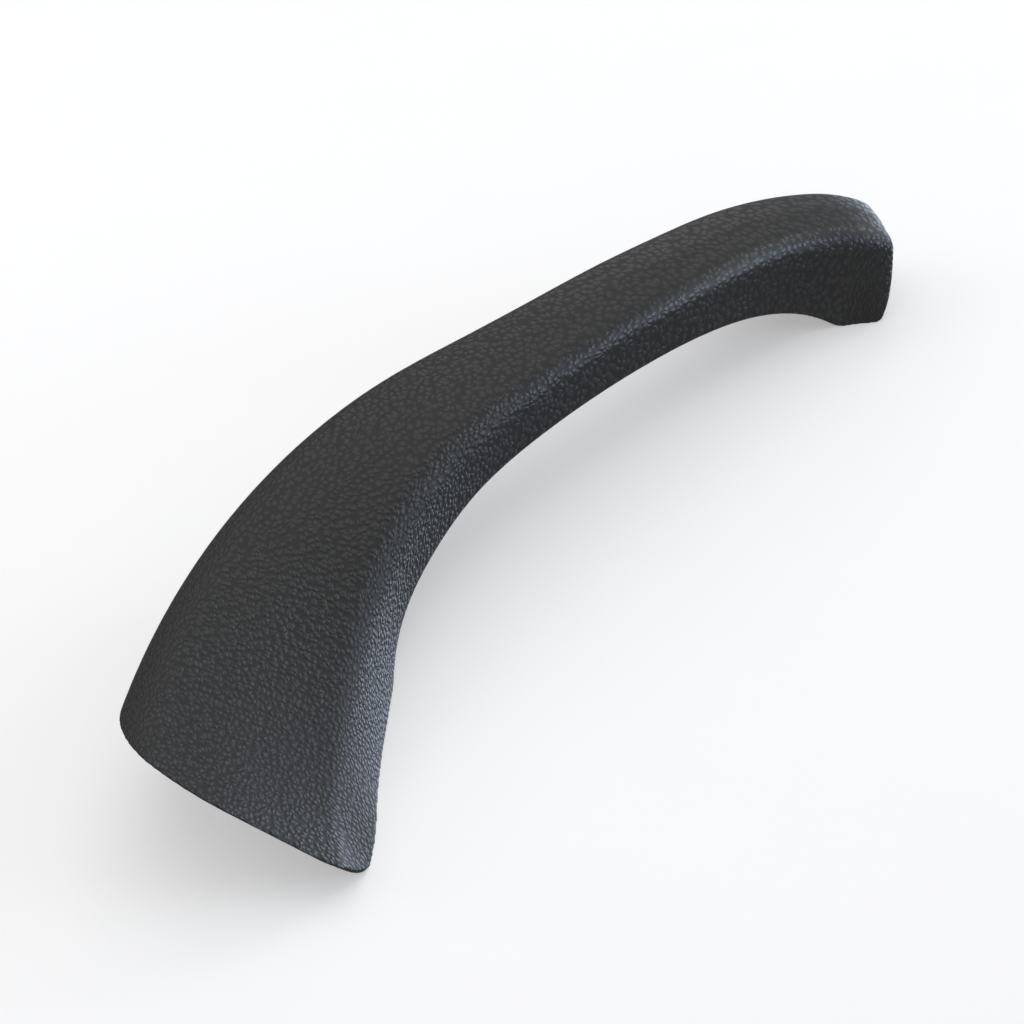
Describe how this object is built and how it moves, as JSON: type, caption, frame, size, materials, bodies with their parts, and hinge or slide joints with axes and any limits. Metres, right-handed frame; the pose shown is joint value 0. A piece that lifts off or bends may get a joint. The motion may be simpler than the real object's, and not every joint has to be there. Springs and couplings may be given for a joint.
{
  "type": "car door pull handle",
  "caption": "Arched, twisting car door pull handle with a leather-grained cover on an inner carrier, bolted to the door through threaded inserts in its two feet.",
  "frame": {"origin": "on the door panel's plane, midway between the two fixings", "axes": "+X along the line of the two fixings, from the wide lower foot to the narrow upper foot; +Z out of the door, towards the hand; +Y towards the far, outer side of the bend"},
  "size_m": [0.3056, 0.0912, 0.0448],
  "materials": {
    "grained_cover": "black, moulded leather grain, low sheen",
    "carrier_plastic": "black, fine spark-eroded texture",
    "insert_brass": "turned, bare"
  },
  "bodies": {
    "root": {"grip_cover": "grained_cover", "grip_carrier": "carrier_plastic", "threaded_inserts": "insert_brass"}
  },
  "joints": []
}
